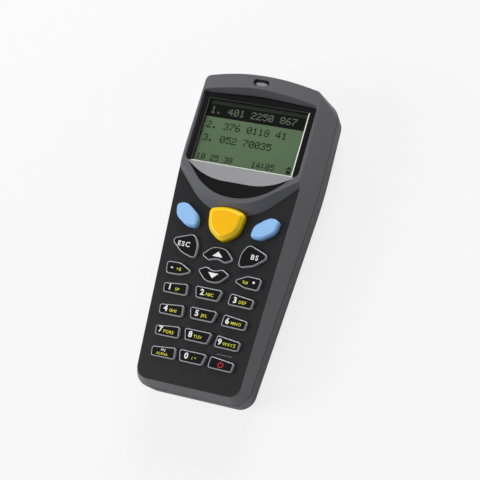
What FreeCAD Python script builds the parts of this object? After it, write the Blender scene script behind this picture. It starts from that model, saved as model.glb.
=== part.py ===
import FreeCAD, Part
import math
import os

import Sketcher

# Portable barcode data terminal, lying on its back.
# +X right, +Y towards the scanner head, +Z up through the keypad. Millimetres.
# The origin is the centre of the footprint, on the surface that it rests on.

doc = FreeCAD.newDocument("Terminal")

# Every size that can be set by itself, with what it measures.
SIZES = {
    # plan outline, taken where the two covers meet
    "body_length": (122.0, "length of the covers, foot to scanner end"),
    "foot_half": (22.0, "half width at the foot"),
    "waist_half": (28.0, "half width at the widest place"),
    "waist_run": (85.0, "distance from the foot to the widest place"),
    "head_half": (27.4, "half width at the scanner end"),
    "corner_round": (6.5, "corner radius of the outline"),
    "waist_round": (200.0, "radius that blends the taper into the head"),
    "end_round": (120.0, "radius of the bowed scanner end"),
    "end_slope": (8.3, "angle of the scanner end beside its bow, degrees"),
    # section
    "joint_rise": (14.6, "height of the joint between the covers"),
    "form_rise": (18.0, "height of the front cover's moulding above the joint"),
    "side_draft": (17.0, "lean of the front cover's sides, degrees"),
    "end_draft": (4.5, "lean of the front cover's scanner end, degrees"),
    "rear_draft": (3.0, "lean of the rear cover's sides, degrees"),
    "rear_edge": (5.0, "edge radius round the back"),
    "wall": (2.0, "wall of both covers"),
    # keypad plane
    "face_run": (1.8, "foot of the keypad plane, from the end of the outline"),
    "face_rise": (21.0, "height of the keypad plane at its foot"),
    "face_tilt": (4.5, "slope of the keypad plane, degrees"),
    # hood round the display
    "smile_run": (65.0, "lowest point of the ridge below the display"),
    "smile_round": (22.0, "radius of the ridge"),
    "smile_slope": (46.0, "angle of the ridge beside its bow, degrees"),
    "ridge_flare": (45.0, "slope of the ridge's face, degrees"),
    "crest_rise": (30.2, "height of the hood at the ridge"),
    "hood_rise": (32.0, "height of the hood's crown at the scanner end"),
    "hood_round": (84.0, "radius of the hood's crown at the scanner end"),
    "hood_slope": (18.0, "slope of the hood beside its crown at the scanner end, degrees"),
    "crest_round": (900.0, "radius of the hood's crown at the ridge"),
    "crest_slope": (1.0, "slope of the hood beside its crown at the ridge, degrees"),
    # display recess and lens
    "lens_half": (22.0, "half width of the recess and its lens"),
    "lens_foot": (71.0, "lowest point of the recess"),
    "lens_head": (112.2, "top of the recess at its middle"),
    "lens_bow": (1.2, "bow of the recess's top"),
    "lens_rise": (28.5, "height of the lens at its foot"),
    "lens_tilt": (2.0, "slope of the lens down to the scanner end, degrees"),
    "lens_thick": (1.2, "thickness of the lens"),
    "recess_flare": (12.0, "lean of the recess's wall, degrees"),
    "glue_gap": (0.1, "gap round a glued piece"),
    "view_half": (19.65, "half width of the window"),
    "view_foot": (83.2, "lower edge of the window"),
    "view_head": (108.7, "upper edge of the window"),
    "badge_foot": (75.6, "lowest point of the silver crescent"),
    "badge_thick": (0.3, "thickness of the silver crescent"),
    # display
    "panel_border": (1.1, "glass of the panel outside the window"),
    "panel_thick": (2.4, "thickness of the panel"),
    "roof_rise": (24.9, "height of the cavity's roof under the display"),
    # keys
    "key_rise": (1.5, "height of a key above the keypad plane"),
    "middle_rise": (1.9, "height of a middle key"),
    "soft_rise": (2.6, "height of an oval key"),
    "scan_rise": (2.6, "height of the scan key's wall"),
    "scan_dome": (1.3, "height of the scan key's crown above its wall"),
    "key_gap": (0.25, "gap between a key and its hole"),
    "key_edge": (0.45, "edge radius of a key"),
    "soft_edge": (1.0, "edge radius of an oval key"),
    "key_seat": (0.25, "gap between a key's flange and the cover"),
    "flange": (0.6, "width of a key's flange"),
    "flange_thick": (0.8, "thickness of a key's flange"),
    "plunger": (1.5, "radius of a key's plunger"),
    "key_travel": (0.8, "stroke of a key"),
    "dome_gap": (0.08, "gap left under a pressed key"),
    "dome_radius": (2.4, "radius of a snap dome"),
    "dome_rise": (0.45, "height of a snap dome"),
    "film": (0.12, "thickness of the dome film"),
    # circuit board
    "board_drop": (6.0, "top of the board below the keypad plane"),
    "board_thick": (1.0, "thickness of the board"),
    "board_gap": (1.6, "gap between the board and the covers"),
    "board_round": (5.0, "corner radius of the board at the scanner end"),
    # scanner
    "scan_half": (13.0, "half width of the scan opening"),
    "scan_low": (8.5, "lower edge of the scan opening"),
    "scan_high": (18.5, "upper edge of the scan opening"),
    "scan_glass": (1.5, "thickness of the scan window"),
    "scan_sink": (1.1, "scan window behind the scanner end"),
    "window_gap": (0.15, "gap round the scan window"),
    "engine_width": (21.0, "width of the scan engine"),
    "engine_length": (15.0, "length of the scan engine"),
    "engine_height": (11.0, "height of the scan engine"),
    "engine_gap": (0.3, "gap between the scan engine and its window"),
    # indicator
    "lamp_inset": (4.16, "indicator, from the scanner end"),
    "lamp_width": (6.0, "width of the indicator slot"),
    "lamp_height": (2.4, "height of the indicator slot"),
    "lamp_sink": (1.0, "indicator below the hood"),
    # battery bay
    "cell_radius": (5.25, "radius of a cell"),
    "cell_length": (44.5, "length of a cell"),
    "cell_gap": (0.2, "gap round a cell"),
    "bay_head": (53.0, "head end of the bay, from the foot"),
    "bay_wall": (1.2, "wall of the bay"),
    "contact_thick": (0.5, "thickness of a contact plate"),
    "spring_length": (3.2, "length of a contact spring"),
    "door_thick": (1.8, "thickness of the battery door"),
    "door_half": (12.6, "half width of the battery door"),
    "door_gap": (0.15, "running gap round the battery door"),
    "tongue": (0.8, "width of the door's tongue"),
    "tongue_thick": (0.7, "thickness of the door's tongue"),
    # screws and bosses
    "boss_radius": (2.5, "radius of a screw boss"),
    "screw_radius": (1.0, "radius of a screw's shank"),
    "screw_head": (1.9, "radius of a screw's head"),
    "head_sink": (2.2, "depth of the screw head's pocket"),
    "screw_length": (14.0, "length of a screw under its head"),
    "foot_boss_half": (16.5, "foot bosses, from the middle"),
    "foot_boss_run": (6.6, "foot bosses, from the foot"),
    "head_boss_half": (20.6, "head bosses, from the middle"),
    "head_boss_inset": (15.0, "head bosses, from the scanner end"),
    # sounder
    "buzzer_run": (84.0, "sounder, along the keypad plane"),
    "buzzer_radius": (4.5, "radius of the sounder"),
    "buzzer_thick": (2.5, "thickness of the sounder"),
}

sheet = doc.addObject("Spreadsheet::Sheet", "Dims")
for row, (alias, (size, meaning)) in enumerate(SIZES.items(), start=1):
    sheet.set(f"A{row}", meaning)
    sheet.set(f"B{row}", str(size))
    sheet.setAlias(f"B{row}", alias)
doc.recompute()


def value(expression):
    """Return the number that an expression over the sheet gives."""
    return float(sheet.evalExpression(str(expression)))


def bind(thing, **expressions):
    """Tie properties of an object to expressions over the sheet."""
    for name, expression in expressions.items():
        thing.setExpression(name.replace("__", "."), str(expression))


# Places that several pieces share, as expressions over the sheet.
FOOT = "(0 - Dims.body_length / 2)"
FACE_Y = f"({FOOT} + Dims.face_run)"
UNDER_FACE = "(Dims.wall + Dims.key_seat)"
SLOPE = "tan(Dims.face_tilt)"
DOME_TOP = "(Dims.board_drop - Dims.film - Dims.dome_rise)"


def corner_data(corners):
    """Return each corner's place, radius and unit vectors to its neighbours."""
    points = [FreeCAD.Vector(value(x), value(y), 0) for x, y, _ in corners]
    data = []
    for i, (_, _, radius) in enumerate(corners):
        back = (points[i - 1] - points[i]).normalize()
        ahead = (points[(i + 1) % len(points)] - points[i]).normalize()
        data.append((points[i], value(radius), back, ahead))
    return data


def grown(corners, growth):
    """Return the outline moved outwards by an expression, with its corners rounded to suit."""
    result = []
    for (x, y, radius), (_, _, back, ahead) in zip(corners, corner_data(corners)):
        bisector = back + ahead
        sine = math.sqrt(max(0.0, (1 - back.dot(ahead)) / 2))
        turn = back.cross(ahead).z
        side = 1 if turn < 0 else -1
        away = bisector.normalize() * (-side / sine)
        result.append((
            f"({x}) + ({away.x:.9f}) * ({growth})",
            f"({y}) + ({away.y:.9f}) * ({growth})",
            f"({radius}) + ({side}) * ({growth})" if value(radius) > 0 else "0",
        ))
    return result


def outline(sketch, corners):
    """Draw a closed outline through anticlockwise corners (x, y, radius), all tied to the sheet."""
    data = corner_data(corners)
    ends = []
    for place, radius, back, ahead in data:
        if radius <= 0:
            ends.append((place, place, None, 0, 0))
            continue
        half = back.getAngle(ahead) / 2
        reach = radius / math.tan(half)
        centre = place + (back + ahead).normalize() * (radius / math.sin(half))
        first = place + back * reach
        last = place + ahead * reach
        convex = back.cross(ahead).z < 0
        start, stop = (first, last) if convex else (last, first)
        begin = math.atan2(start.y - centre.y, start.x - centre.x)
        finish = math.atan2(stop.y - centre.y, stop.x - centre.x)
        if finish < begin:
            finish += 2 * math.pi
        arc = Part.ArcOfCircle(Part.Circle(centre, FreeCAD.Vector(0, 0, 1), radius), begin, finish)
        ends.append((first, last, arc, 1 if convex else 2, 2 if convex else 1))
    count = len(corners)
    lines = [Part.LineSegment(ends[i][1], ends[(i + 1) % count][0]) for i in range(count)]
    line_ids = sketch.addGeometry(lines, False)
    rules = []
    for i, (x, y, radius) in enumerate(corners):
        before = line_ids[i - 1]
        after = line_ids[i]
        _, _, arc, enter, leave = ends[i]
        if arc is None:
            rules.append(("Coincident", (before, 2, after, 1), None))
            corner, vertex = after, 1
        else:
            bend = sketch.addGeometry(arc, False)
            corner = sketch.addGeometry(Part.Point(data[i][0]), True)
            vertex = 1
            rules.append(("Tangent", (before, 2, bend, enter), None))
            rules.append(("Tangent", (after, 1, bend, leave), None))
            rules.append(("PointOnObject", (corner, 1, before), None))
            rules.append(("PointOnObject", (corner, 1, after), None))
            rules.append(("Radius", (bend,), radius))
        rules.append(("DistanceX", (-1, 1, corner, vertex), x))
        rules.append(("DistanceY", (-1, 1, corner, vertex), y))
    made = []
    for kind, where, expression in rules:
        if expression is None:
            made.append(Sketcher.Constraint(kind, *where))
        else:
            made.append(Sketcher.Constraint(kind, *where, value(expression)))
    ids = sketch.addConstraint(made)
    for index, (_, _, expression) in zip(ids, rules):
        if expression is not None:
            sketch.setExpression(f"Constraints[{index}]", str(expression))


def circle(sketch, x, y, radius):
    """Draw a circle whose place and radius are tied to the sheet."""
    centre = FreeCAD.Vector(value(x), value(y), 0)
    ring = sketch.addGeometry(Part.Circle(centre, FreeCAD.Vector(0, 0, 1), value(radius)), False)
    for kind, where, expression in (
        ("DistanceX", (-1, 1, ring, 3), x),
        ("DistanceY", (-1, 1, ring, 3), y),
        ("Radius", (ring,), radius),
    ):
        index = sketch.addConstraint(Sketcher.Constraint(kind, *where, value(expression)))
        sketch.setExpression(f"Constraints[{index}]", str(expression))


def rectangle(low_x, low_y, high_x, high_y, radius="0"):
    """Return the corners of an upright rectangle."""
    return [
        (low_x, low_y, radius),
        (high_x, low_y, radius),
        (high_x, high_y, radius),
        (low_x, high_y, radius),
    ]


def body(name):
    """Add a body."""
    return doc.addObject("PartDesign::Body", name)


def on_face(thing, x="0", y="0"):
    """Stand a body on the keypad plane, at a place measured along it from its foot."""
    thing.Placement = FreeCAD.Placement(
        FreeCAD.Vector(), FreeCAD.Rotation(FreeCAD.Vector(1, 0, 0), value("Dims.face_tilt"))
    )
    bind(
        thing,
        Placement__Base__x=x,
        Placement__Base__y=f"{FACE_Y} + ({y}) * cos(Dims.face_tilt)",
        Placement__Base__z=f"Dims.face_rise + ({y}) * sin(Dims.face_tilt)",
        Placement__Rotation__Angle="Dims.face_tilt",
    )


def on_lens(thing):
    """Stand a body on the plane of the lens's upper face, measured as on the keypad plane."""
    thing.Placement = FreeCAD.Placement(
        FreeCAD.Vector(), FreeCAD.Rotation(FreeCAD.Vector(-1, 0, 0), value("Dims.lens_tilt"))
    )
    bind(
        thing,
        Placement__Base__y=FACE_Y,
        Placement__Base__z="Dims.lens_rise + Dims.badge_foot * tan(Dims.lens_tilt)",
        Placement__Rotation__Angle="Dims.lens_tilt",
    )


def sketch_on(host, name, rise="0", role="XY_Plane"):
    """Add a sketch on one of a body's own planes, moved along the plane's normal."""
    plane = next(f for f in host.Origin.OriginFeatures if f.Role == role)
    sketch = host.newObject("Sketcher::SketchObject", name)
    sketch.AttachmentSupport = [(plane, "")]
    sketch.MapMode = "FlatFace"
    bind(sketch, AttachmentOffset__Base__z=rise)
    return sketch


def pad(host, corners, length, rise="0", role="XY_Plane", middle=False, taper=None):
    """Pad an outline, up from its plane or to both sides of it."""
    sketch = sketch_on(host, f"{host.Name}_outline", rise, role)
    outline(sketch, corners)
    feature = host.newObject("PartDesign::Pad", f"{host.Name}_pad")
    feature.Profile = sketch
    feature.Midplane = middle
    bind(feature, Length=length)
    if taper is not None:
        bind(feature, TaperAngle=taper)
    doc.recompute()
    return feature


def pocket(host, corners, length, rise="0", role="XY_Plane", middle=False, up=False, taper=None):
    """Cut an outline out of a body, down from its plane, up from it, or to both sides."""
    sketch = sketch_on(host, f"{host.Name}_cut_outline", rise, role)
    outline(sketch, corners)
    feature = host.newObject("PartDesign::Pocket", f"{host.Name}_pocket")
    feature.Profile = sketch
    feature.Midplane = middle
    feature.Reversed = up
    bind(feature, Length=length)
    if taper is not None:
        bind(feature, TaperAngle=taper)
    doc.recompute()
    return feature


def loft(host, sections, role="XY_Plane"):
    """Join outlines on parallel planes by a ruled loft."""
    sketches = []
    for corners, rise in sections:
        sketch = sketch_on(host, f"{host.Name}_section", rise, role)
        outline(sketch, corners)
        sketches.append(sketch)
    feature = host.newObject("PartDesign::AdditiveLoft", f"{host.Name}_loft")
    feature.Profile = sketches[0]
    feature.Sections = sketches[1:]
    feature.Ruled = True
    doc.recompute()
    return feature


def rounded(host, base, radius, pick):
    """Round the edges of the face that comes highest by a measure."""
    faces = base.Shape.Faces
    best = max(range(len(faces)), key=lambda i: pick(faces[i].CenterOfMass))
    feature = host.newObject("PartDesign::Fillet", f"{host.Name}_round")
    feature.Base = (base, [f"Face{best + 1}"])
    bind(feature, Radius=radius)
    doc.recompute()
    return feature


def block(name, low, high):
    """Add a box between two corners given as expressions."""
    box = doc.addObject("Part::Box", name)
    bind(
        box,
        Placement__Base__x=low[0],
        Placement__Base__y=low[1],
        Placement__Base__z=low[2],
        Length=f"({high[0]}) - ({low[0]})",
        Width=f"({high[1]}) - ({low[1]})",
        Height=f"({high[2]}) - ({low[2]})",
    )
    return box


def post(name, x, y, low, high, radius):
    """Add an upright cylinder."""
    cylinder = doc.addObject("Part::Cylinder", name)
    bind(
        cylinder,
        Placement__Base__x=x,
        Placement__Base__y=y,
        Placement__Base__z=low,
        Radius=radius,
        Height=f"({high}) - ({low})",
    )
    return cylinder


def rod(name, x, low_y, high_y, z, radius):
    """Add a cylinder that lies along Y."""
    cylinder = doc.addObject("Part::Cylinder", name)
    cylinder.Placement = FreeCAD.Placement(
        FreeCAD.Vector(), FreeCAD.Rotation(FreeCAD.Vector(-1, 0, 0), 90)
    )
    bind(
        cylinder,
        Placement__Base__x=x,
        Placement__Base__y=low_y,
        Placement__Base__z=z,
        Radius=radius,
        Height=f"({high_y}) - ({low_y})",
    )
    return cylinder


def joined(name, shapes):
    """Fuse shapes."""
    result = doc.addObject("Part::MultiFuse", name)
    result.Shapes = shapes
    result.Refine = True
    return result


def cut(name, base, tool):
    """Cut one shape out of another."""
    result = doc.addObject("Part::Cut", name)
    result.Base = base
    result.Tool = tool
    return result


def common(name, base, tool):
    """Keep what two shapes share."""
    result = doc.addObject("Part::Common", name)
    result.Base = base
    result.Tool = tool
    return result


NODES = []


def keep(thing, label):
    """Name a sub-part."""
    thing.Label = label
    NODES.append(thing)
    return thing


# Covers. One plan outline, at any height and inset, gives both covers inside and out.


def plan(inset, side_lean, end_lean):
    """Return the plan outline, drawn in by an inset and by the lean of its sides and ends."""
    side = f"(({inset}) + ({side_lean}))"
    end = f"(({inset}) + ({end_lean}))"
    peak = (
        f"(Dims.body_length / 2 + Dims.end_round * (1 / cos(Dims.end_slope) - 1) - {end})"
    )
    head_x = f"(Dims.head_half - {side})"
    head_y = f"({peak} - {head_x} * tan(Dims.end_slope))"
    waist_y = f"({FOOT} + Dims.waist_run)"
    corner = f"(Dims.corner_round - {side})"
    return [
        (f"0 - (Dims.foot_half - {side})", f"{FOOT} + {side}", corner),
        (f"Dims.foot_half - {side}", f"{FOOT} + {side}", corner),
        (f"Dims.waist_half - {side}", waist_y, f"Dims.waist_round - {side}"),
        (head_x, head_y, corner),
        ("0", peak, f"Dims.end_round - {end}"),
        (f"0 - {head_x}", head_y, corner),
        (f"0 - (Dims.waist_half - {side})", waist_y, f"Dims.waist_round - {side}"),
    ]


SIDE_LEAN = "(Dims.form_rise * tan(Dims.side_draft))"
END_LEAN = "(Dims.form_rise * tan(Dims.end_draft))"
TOP = "(Dims.joint_rise + Dims.form_rise)"


def bow(top, radius, slope):
    """Return where the two slopes beside a bow would meet, above its top."""
    return f"(({top}) + ({radius}) * (1 / cos({slope}) - 1))"


front_form = body("front_form")
loft(
    front_form,
    [
        (plan("0", "0", "0"), "Dims.joint_rise"),
        (plan("0", SIDE_LEAN, END_LEAN), TOP),
    ],
)

# The hood is level across the ridge and bowed across the scanner end.
WIDE = "(Dims.waist_half + 10)"


def above_hood(top, radius, slope):
    """Return the outline of what lies above the hood in one section."""
    peak = bow(top, radius, slope)
    return [
        (f"0 - {WIDE}", f"{peak} - {WIDE} * tan({slope})", "0"),
        ("0", peak, radius),
        (WIDE, f"{peak} - {WIDE} * tan({slope})", "0"),
        (WIDE, f"{TOP} + 9", "0"),
        (f"0 - {WIDE}", f"{TOP} + 9", "0"),
    ]


hood_cutter = body("hood_cutter")
loft(
    hood_cutter,
    [
        (
            above_hood("Dims.crest_rise", "Dims.crest_round", "Dims.crest_slope"),
            f"0 - ({FACE_Y} + Dims.smile_run)",
        ),
        (
            above_hood("Dims.hood_rise", "Dims.hood_round", "Dims.hood_slope"),
            "0 - (Dims.body_length / 2 + 1)",
        ),
    ],
    role="XZ_Plane",
)

# The keypad plane is cut down in front of the ridge, whose face flares upwards.
SMILE_FOOT = f"(Dims.smile_run - Dims.smile_round * (1 / cos(Dims.smile_slope) - 1))"
SMILE_FAR = f"({SMILE_FOOT} + {WIDE} * tan(Dims.smile_slope))"
keypad_cutter = body("keypad_cutter")
on_face(keypad_cutter)
pad(
    keypad_cutter,
    [
        (f"0 - {WIDE}", "0 - 20", "0"),
        (WIDE, "0 - 20", "0"),
        (WIDE, SMILE_FAR, "0"),
        ("0", SMILE_FOOT, "Dims.smile_round"),
        (f"0 - {WIDE}", SMILE_FAR, "0"),
    ],
    "16",
    taper="Dims.ridge_flare",
)


def lens_outline(inset):
    """Return the outline of the recess and of the lens in it, drawn in by an inset."""
    foot = f"(Dims.lens_foot + {inset} - Dims.smile_round * (1 / cos(Dims.smile_slope) - 1))"
    half = f"(Dims.lens_half - {inset})"
    head = f"(Dims.lens_head - {inset})"
    return [
        (f"0 - {half}", f"{foot} + {half} * tan(Dims.smile_slope)", "1.5"),
        ("0", foot, "Dims.smile_round"),
        (half, f"{foot} + {half} * tan(Dims.smile_slope)", "1.5"),
        (half, f"{head} - Dims.lens_bow", "0.6"),
        ("0", f"{head} + 0.2", "90"),
        (f"0 - {half}", f"{head} - Dims.lens_bow", "0.6"),
    ]


recess_cutter = body("recess_cutter")
on_lens(recess_cutter)
pad(
    recess_cutter,
    lens_outline("0"),
    "12",
    rise="0 - Dims.lens_thick",
    taper="Dims.recess_flare",
)

PANEL = rectangle(
    "0 - (Dims.view_half + Dims.panel_border)",
    "Dims.view_foot - Dims.panel_border",
    "Dims.view_half + Dims.panel_border",
    "Dims.view_head + Dims.panel_border",
)
panel_cutter = body("panel_cutter")
on_lens(panel_cutter)
pad(panel_cutter, grown(PANEL, "Dims.glue_gap"), "8", rise="0 - Dims.lens_thick - 6")

# The cavity follows the cover inside its wall, under a roof that runs below the keypad
# and then level under the display.
front_cavity = body("front_cavity")
loft(
    front_cavity,
    [
        (plan("Dims.wall", "0", "0"), "Dims.joint_rise"),
        (plan("Dims.wall", "Dims.form_rise * tan(Dims.side_draft)", END_LEAN), TOP),
    ],
)
ROOF_FOOT = f"(Dims.face_rise - Dims.wall / cos(Dims.face_tilt) - 20 * {SLOPE})"
ROOF_BEND = f"({FACE_Y} - 20 + (Dims.roof_rise - {ROOF_FOOT}) / {SLOPE})"
pocket(
    front_cavity,
    [
        (f"{FACE_Y} - 20", ROOF_FOOT, "0"),
        (ROOF_BEND, "Dims.roof_rise", "0"),
        ("Dims.body_length", "Dims.roof_rise", "0"),
        ("Dims.body_length", f"{TOP} + 9", "0"),
        (f"{FACE_Y} - 20", f"{TOP} + 9", "0"),
    ],
    "200",
    role="YZ_Plane",
    middle=True,
)

# Keys. Each outline is drawn about the key's own place on the keypad plane.


def mirrored(corners):
    """Return an outline mirrored left to right, still anticlockwise."""
    return [(f"0 - ({x})", y, radius) for x, y, radius in reversed(corners)]


def flipped(corners):
    """Return an outline mirrored head to foot, still anticlockwise."""
    return [(x, f"0 - ({y})", radius) for x, y, radius in reversed(corners)]


SIDE_KEY = [
    ("-4.9", "1.5", "0.9"),
    ("-4.5", "-2.1", "0.9"),
    ("4.8", "-2.0", "0.9"),
    ("4.4", "2.5", "0.9"),
]
MIDDLE_KEY = [
    ("-5.4", "2.2", "0.9"),
    ("-4.3", "-2.2", "0.9"),
    ("4.3", "-2.2", "0.9"),
    ("5.4", "2.2", "0.9"),
]
CORNER_KEY = [
    ("-6.0", "1.7", "1.5"),
    ("-0.6", "-2.9", "6"),
    ("5.4", "-4.6", "1.5"),
    ("5.4", "1.0", "6"),
    ("3.0", "5.0", "2.0"),
]
WEDGE_KEY = [
    ("-5.0", "2.1", "1.2"),
    ("-4.4", "-2.6", "1.2"),
    ("1.2", "-2.4", "4"),
    ("6.0", "-0.5", "0.9"),
    ("0.6", "2.3", "4"),
]
ARROW_KEY = [
    ("-6.4", "-1.0", "0.9"),
    ("-3.2", "-2.7", "1.8"),
    ("0", "-1.5", "4"),
    ("3.2", "-2.7", "1.8"),
    ("6.4", "-1.0", "0.9"),
    ("2.6", "2.9", "4.5"),
    ("-2.6", "2.9", "4.5"),
]
OVAL_KEY = [
    ("-5.0", "0.5", "3.2"),
    ("0.2", "-5.4", "4.2"),
    ("5.0", "-0.5", "3.2"),
    ("0.2", "5.4", "4.2"),
]
SCAN_KEY = [
    ("-7.0", "4.4", "1.9"),
    ("-5.9", "-3.4", "7"),
    ("0", "-7.4", "3.4"),
    ("5.9", "-3.4", "7"),
    ("7.0", "4.4", "1.9"),
    ("0", "6.4", "12"),
]


def oval(turn):
    """Return the oval key's outline with its long axis turned by an angle in degrees."""
    spread = [("-6.2", "-0.4"), ("-3.0", "-3.0"), ("3.0", "-3.3"), ("6.2", "-0.2")]
    spread += [("4.4", "3.1"), ("-3.4", "3.1")]
    radii = ["1.3", "4.5", "4.5", "1.6", "4.0", "4.5"]
    corners = []
    for (x, y), radius in zip(spread, radii):
        corners.append((
            f"({x}) * cos({turn}) - ({y}) * sin({turn})",
            f"({x}) * sin({turn}) + ({y}) * cos({turn})",
            radius,
        ))
    return corners


SOFT_RIGHT = oval("37")
SOFT_LEFT = mirrored(SOFT_RIGHT)

# Each key: outline, place across and along the keypad plane, height, edge radius.
KEYS = {
    "key_soft_left": (SOFT_LEFT, "0 - 15.2", "62.0", "soft_rise", "soft_edge"),
    "key_soft_right": (SOFT_RIGHT, "15.2", "62.0", "soft_rise", "soft_edge"),
    "key_scan": (SCAN_KEY, "0", "61.6", "scan_rise", "soft_edge"),
    "key_escape": (CORNER_KEY, "0 - 13.7", "50.8", "key_rise", "key_edge"),
    "key_back": (mirrored(CORNER_KEY), "13.7", "50.8", "key_rise", "key_edge"),
    "key_up": (ARROW_KEY, "0", "49.6", "key_rise", "key_edge"),
    "key_down": (flipped(ARROW_KEY), "0", "42.0", "key_rise", "key_edge"),
    "key_dash": (WEDGE_KEY, "0 - 13.7", "41.9", "key_rise", "key_edge"),
    "key_dot": (mirrored(WEDGE_KEY), "13.7", "41.9", "key_rise", "key_edge"),
    "key_1": (SIDE_KEY, "0 - 12.8", "34.4", "key_rise", "key_edge"),
    "key_2": (MIDDLE_KEY, "0", "34.8", "middle_rise", "key_edge"),
    "key_3": (mirrored(SIDE_KEY), "12.8", "34.4", "key_rise", "key_edge"),
    "key_4": (SIDE_KEY, "0 - 12.3", "26.4", "key_rise", "key_edge"),
    "key_5": (MIDDLE_KEY, "0", "26.9", "middle_rise", "key_edge"),
    "key_6": (mirrored(SIDE_KEY), "12.3", "26.4", "key_rise", "key_edge"),
    "key_7": (SIDE_KEY, "0 - 11.7", "18.5", "key_rise", "key_edge"),
    "key_8": (MIDDLE_KEY, "0", "18.9", "middle_rise", "key_edge"),
    "key_9": (mirrored(SIDE_KEY), "11.7", "18.5", "key_rise", "key_edge"),
    "key_function": (SIDE_KEY, "0 - 11.2", "10.7", "key_rise", "key_edge"),
    "key_0": (MIDDLE_KEY, "0", "11.0", "middle_rise", "key_edge"),
    "key_power": (mirrored(SIDE_KEY), "11.2", "10.7", "key_rise", "key_edge"),
}

KEY_FOOT = f"({DOME_TOP} - Dims.key_travel - Dims.dome_gap)"
HOLES = []
for label, (corners, x, y, rise, edge) in KEYS.items():
    key = body(f"{label}_body")
    on_face(key, x, y)
    stem = pad(key, corners, f"Dims.{rise} + {UNDER_FACE}", rise=f"0 - {UNDER_FACE}")
    top = stem
    if label == "key_scan":
        crown = sketch_on(key, "crown", f"Dims.{rise}")
        outline(crown, corners)
        top = key.newObject("PartDesign::Pad", "crown_pad")
        top.Profile = crown
        bind(top, Length="Dims.scan_dome", TaperAngle="0 - 45")
        doc.recompute()
    rounded(key, top, f"Dims.{edge}", lambda place: place.z)
    pad(
        key,
        grown(corners, "Dims.flange"),
        "Dims.flange_thick",
        rise=f"0 - {UNDER_FACE} - Dims.flange_thick",
    )
    foot = sketch_on(key, "plunger", f"0 - {KEY_FOOT}")
    circle(foot, "0", "0", "Dims.plunger")
    plunger = key.newObject("PartDesign::Pad", "plunger_pad")
    plunger.Profile = foot
    bind(plunger, Length=f"{KEY_FOOT} - {UNDER_FACE} - Dims.flange_thick / 2")
    doc.recompute()
    keep(key, label)
    hole = body(f"{label}_hole")
    on_face(hole, x, y)
    pad(
        hole,
        grown(corners, "Dims.key_gap"),
        "Dims.wall + 1 + Dims.crest_rise - Dims.face_rise",
        rise="0 - Dims.wall - 1",
    )
    HOLES.append(hole)

# Screw bosses stand in both covers at the same four places.
BOSSES = [
    (f"{side} * Dims.{place}_boss_half", y)
    for place, y in (
        ("foot", f"{FOOT} + Dims.foot_boss_run"),
        ("head", "Dims.body_length / 2 - Dims.head_boss_inset"),
    )
    for side in ("(0 - 1)", "1")
]

LAMP_Y = "(Dims.body_length / 2 - Dims.lamp_inset)"
LAMP = rectangle(
    "0 - Dims.lamp_width / 2",
    f"{LAMP_Y} - Dims.lamp_height / 2",
    "Dims.lamp_width / 2",
    f"{LAMP_Y} + Dims.lamp_height / 2",
    "Dims.lamp_height / 2 - 0.1",
)
lamp_cutter = body("lamp_cutter")
pad(lamp_cutter, grown(LAMP, "Dims.glue_gap"), f"{TOP} - Dims.joint_rise", rise="Dims.joint_rise")

SCAN_FRONT = "(Dims.body_length / 2 - Dims.scan_sink)"
scan_opening = block(
    "scan_opening",
    ("0 - Dims.scan_half", "Dims.body_length / 2 - 6", "Dims.scan_low"),
    ("Dims.scan_half", "Dims.body_length / 2 + 6", "Dims.scan_high"),
)

front_bosses = []
for number, (x, y) in enumerate(BOSSES, start=1):
    boss = post(f"front_boss_{number}", x, y, "Dims.joint_rise", TOP, "Dims.boss_radius")
    front_bosses.append(boss)
boss_stack = joined("front_boss_stack", front_bosses)
boss_room = common("front_boss_room", front_cavity, boss_stack)
front_room = cut("front_room", front_cavity, boss_room)
screw_room = joined(
    "front_screw_holes",
    [
        post(
            f"front_screw_hole_{number}",
            x,
            y,
            "Dims.joint_rise - 1",
            "Dims.head_sink + Dims.screw_length + 0.3",
            "Dims.screw_radius",
        )
        for number, (x, y) in enumerate(BOSSES, start=1)
    ],
)
front_tools = joined(
    "front_tools",
    [hood_cutter, keypad_cutter, recess_cutter, panel_cutter, lamp_cutter, scan_opening]
    + [front_room, screw_room]
    + HOLES,
)
keep(cut("front_cover_cut", front_form, front_tools), "front_cover")

# Rear cover: the same outline leaning in towards the back, with a round edge, a bay for
# the cells and a slot for the door.


def rear_sections(inset, edge, low):
    """Return the rear cover's sections: a quarter round in steps, then its leaning side."""
    sections = []
    for turn in (0, 30, 60, 90):
        rise = f"({low} + {edge} * (1 - cos({turn})))"
        lean = f"((Dims.joint_rise - {rise}) * tan(Dims.rear_draft))"
        drawn = f"({lean} + {edge} * (1 - sin({turn})))"
        sections.append((plan(inset, drawn, drawn), rise))
    sections.append((plan(inset, "0", "0"), "Dims.joint_rise"))
    return sections


rear_form = body("rear_form")
loft(rear_form, rear_sections("0", "Dims.rear_edge", "0"))
rear_cavity = body("rear_cavity")
loft(
    rear_cavity,
    rear_sections("Dims.wall", "(Dims.rear_edge - Dims.wall)", "Dims.wall"),
)

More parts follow.
